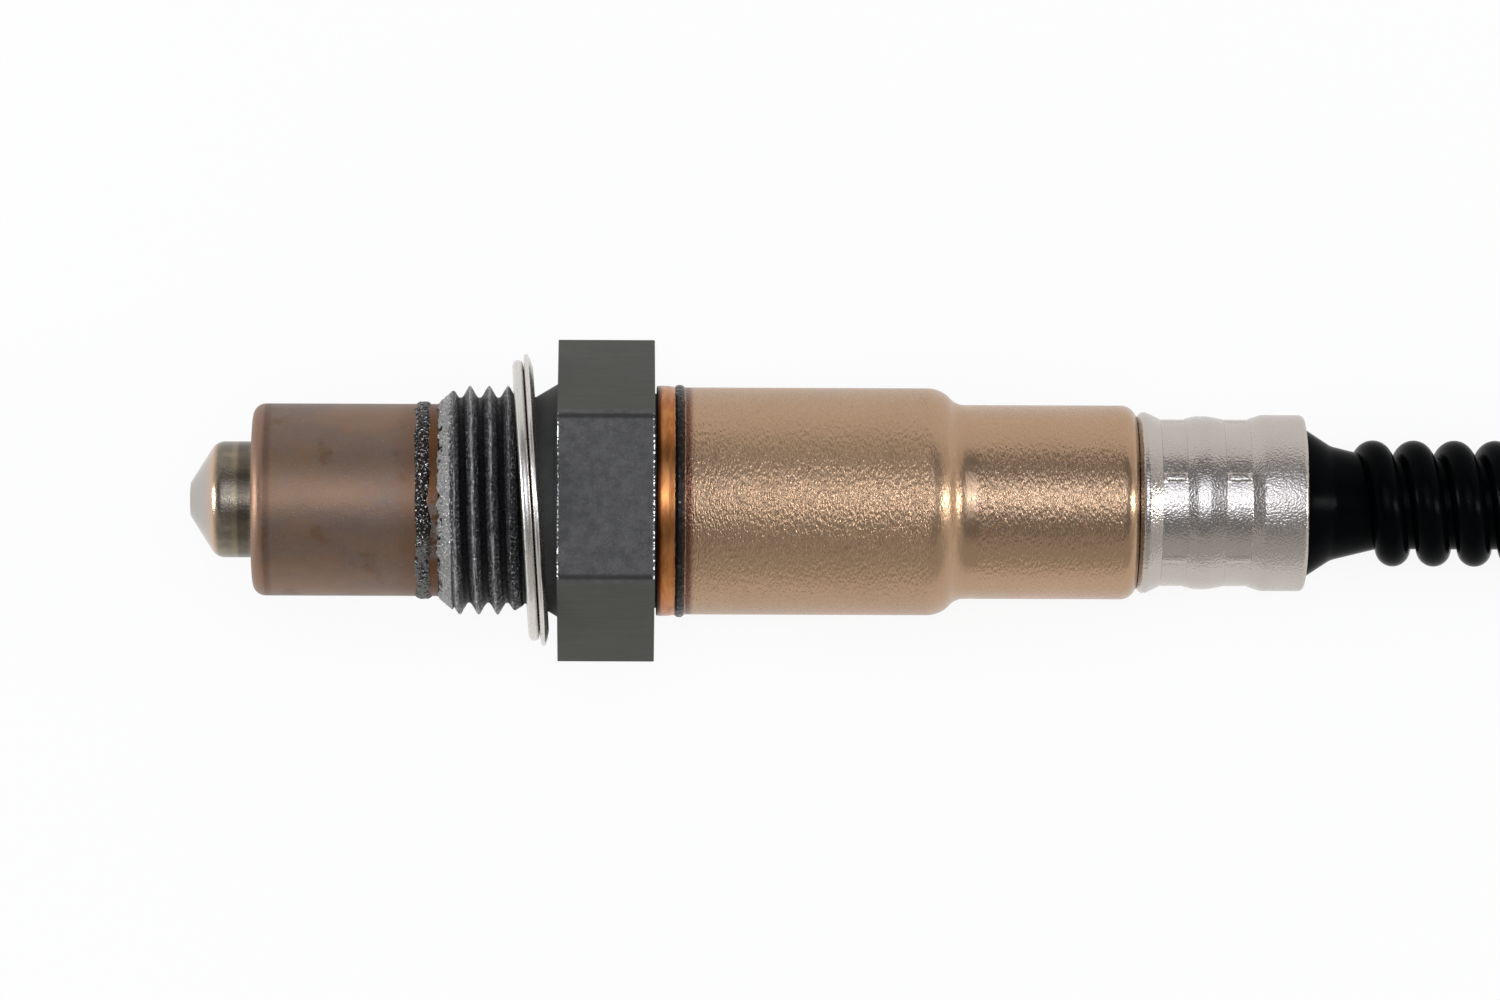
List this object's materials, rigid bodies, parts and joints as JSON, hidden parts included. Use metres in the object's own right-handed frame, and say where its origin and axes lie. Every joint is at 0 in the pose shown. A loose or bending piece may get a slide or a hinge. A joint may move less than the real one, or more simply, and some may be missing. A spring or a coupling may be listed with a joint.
{
  "type": "oxygen sensor",
  "caption": "Slim exhaust oxygen sensor: shielded tip, threaded shell with gasket and hexagon, stepped sleeve, crimped ribbed cable boot.",
  "frame": {"origin": "centre of the seat, the hexagon's front face, on the sensor's axis", "axes": "+X along the axis towards the cable end, so the tip points to -X; +Z is the outward normal of one flat of the hexagon, up as the sensor lies on the opposite flat"},
  "size_m": [0.1111, 0.0254, 0.023],
  "materials": {
    "heat_tinted_steel": "drawn stainless steel, tinted brown and blue grey by heat",
    "tip_steel": "drawn stainless steel, dull grey",
    "weld_bead": "dark rough weld metal",
    "shell_steel": "dark zinc-nickel plated steel",
    "gasket_steel": "bright folded steel sheet",
    "sleeve_steel": "stainless steel with a bronze heat tint and a fine grain",
    "crimp_metal": "bright stainless steel, pressed",
    "boot_rubber": "black glossy moulded rubber",
    "zirconia": "off-white zirconia strip",
    "alumina": "white alumina",
    "talc": "pressed grey-white powder",
    "plain_steel": "plain stainless steel sheet",
    "contact_alloy": "bright spring alloy",
    "grommet_rubber": "brick-red fluoro rubber",
    "lead_white": "white insulation on tinned copper"
  },
  "bodies": {
    "root": {"outer_shield": "heat_tinted_steel", "inner_shield": "tip_steel", "shield_weld": "weld_bead", "threaded_shell": "shell_steel", "crush_gasket": "gasket_steel", "sleeve_weld": "weld_bead", "body_sleeve": "sleeve_steel", "crimp_sleeve": "crimp_metal", "cable_boot": "boot_rubber", "sensing_element": "zirconia", "seat_washer": "plain_steel", "front_insulator": "alumina", "talc_seal": "talc", "rear_insulator": "alumina", "press_ring": "plain_steel", "contact_holder_upper": "alumina", "contact_holder_lower": "alumina", "holder_clamp": "plain_steel", "tolerance_ring": "plain_steel", "grommet": "grommet_rubber", "contact_1": "contact_alloy", "lead_1": "lead_white", "contact_2": "contact_alloy", "lead_2": "lead_white", "contact_3": "contact_alloy", "lead_3": "lead_white", "contact_4": "contact_alloy", "lead_4": "lead_white", "contact_5": "contact_alloy", "lead_5": "lead_white"}
  },
  "joints": []
}
